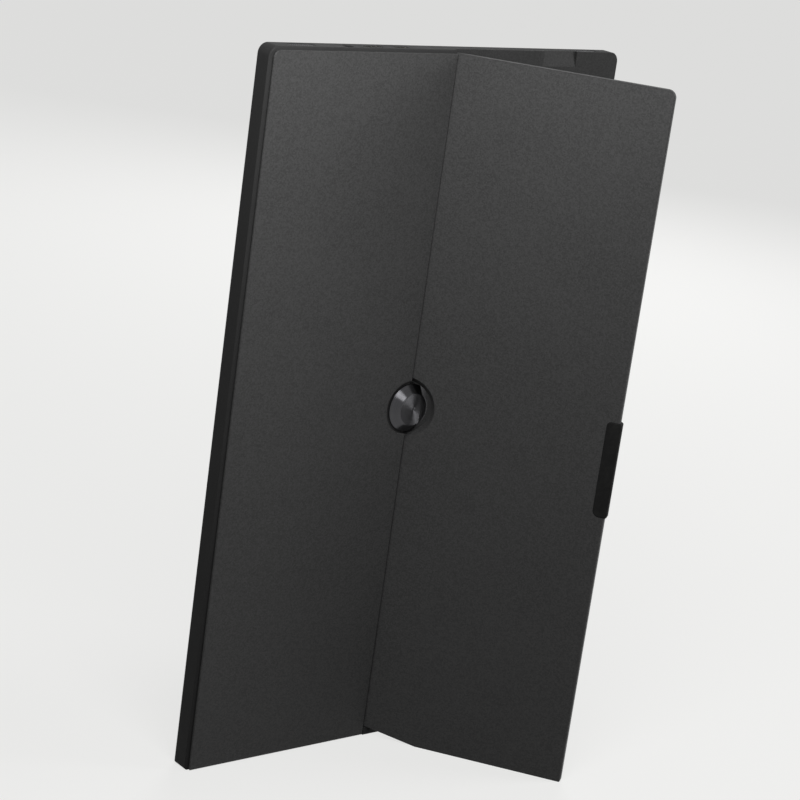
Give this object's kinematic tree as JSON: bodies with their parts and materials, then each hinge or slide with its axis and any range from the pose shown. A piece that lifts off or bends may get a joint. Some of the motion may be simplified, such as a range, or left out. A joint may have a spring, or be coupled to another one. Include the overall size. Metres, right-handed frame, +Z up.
{
  "type": "portable monitor with cover",
  "caption": "15.6 inch class portable monitor standing on its short edge, with a hinged rear flap that folds out as its stand, a round metal cap on the seam and sockets at the top.",
  "frame": {"origin": "middle of the flat bottom face that the monitor stands on", "axes": "+Z up along the body's long sides, +Y towards the raised back, the screen faces -Y, +X towards the thick half of the back"},
  "size_m": [0.22, 0.0982, 0.36],
  "materials": {
    "painted_shell": "charcoal paint with a fine metallic grain",
    "moulded_black": "fine moulded texture",
    "rubber": "matt",
    "cap_metal": "dark anodised, spun on its faces",
    "steel": "plain pressed or turned",
    "screen_glass": "hard anti-glare coat",
    "film": "white diffusing film",
    "board": "green solder mask",
    "black_parts": "moulded electronic housings",
    "flex_film": "amber film",
    "nickel": "nickel plated socket shells",
    "magnet": "plated magnet"
  },
  "bodies": {
    "monitor": {"chassis": "moulded_black", "front_bezel": "moulded_black", "lcd_cell": "screen_glass", "diffuser_sheets": "film", "light_guide": "film", "led_bar": "board", "backlight_tray": "steel", "rear_panel": "painted_shell", "recess_cover": "painted_shell", "hinge_cap": "cap_metal", "cap_seat": "moulded_black", "cap_screw": "steel", "main_board": "board", "board_chips": "black_parts", "shield_can": "steel", "board_connector": "black_parts", "board_screws": "steel", "usb_c_socket": "nickel", "mini_hdmi_socket": "nickel", "audio_jack": "black_parts", "speaker_thick_side": "black_parts", "speaker_flap_side": "black_parts", "speaker_meshes": "steel", "driver_board": "board", "panel_flexes": "flex_film", "display_ribbon": "flex_film", "button_board": "board", "tact_switches": "steel", "status_lens": "film", "keeper_plates": "steel", "hinge_bracket_upper": "steel", "hinge_bracket_lower": "steel", "bracket_screws": "steel"},
    "flap": {"flap_shell": "painted_shell", "flap_liner": "moulded_black", "flap_foot": "rubber", "flap_magnets": "magnet", "hinge_arm_upper": "steel", "hinge_arm_lower": "steel", "hinge_pin_upper": "steel", "hinge_pin_lower": "steel", "arm_screws": "steel"},
    "power_key": {"power_button": "moulded_black"},
    "menu_key": {"menu_button": "moulded_black"}
  },
  "joints": [
    {"name": "flap_hinge", "type": "hinge", "parent": "monitor", "child": "flap", "pos_m": [-0.0023, 0.004, 0], "axis": [0, 0, -1], "range_deg": [-54, 26]},
    {"name": "power_press", "type": "slide", "parent": "monitor", "child": "power_key", "axis": [0, 1, 0], "range_m": [0, 0.0004], "stiffness_N_per_m": 200},
    {"name": "menu_press", "type": "slide", "parent": "monitor", "child": "menu_key", "axis": [0, 1, 0], "range_m": [0, 0.0004], "stiffness_N_per_m": 200}
  ]
}
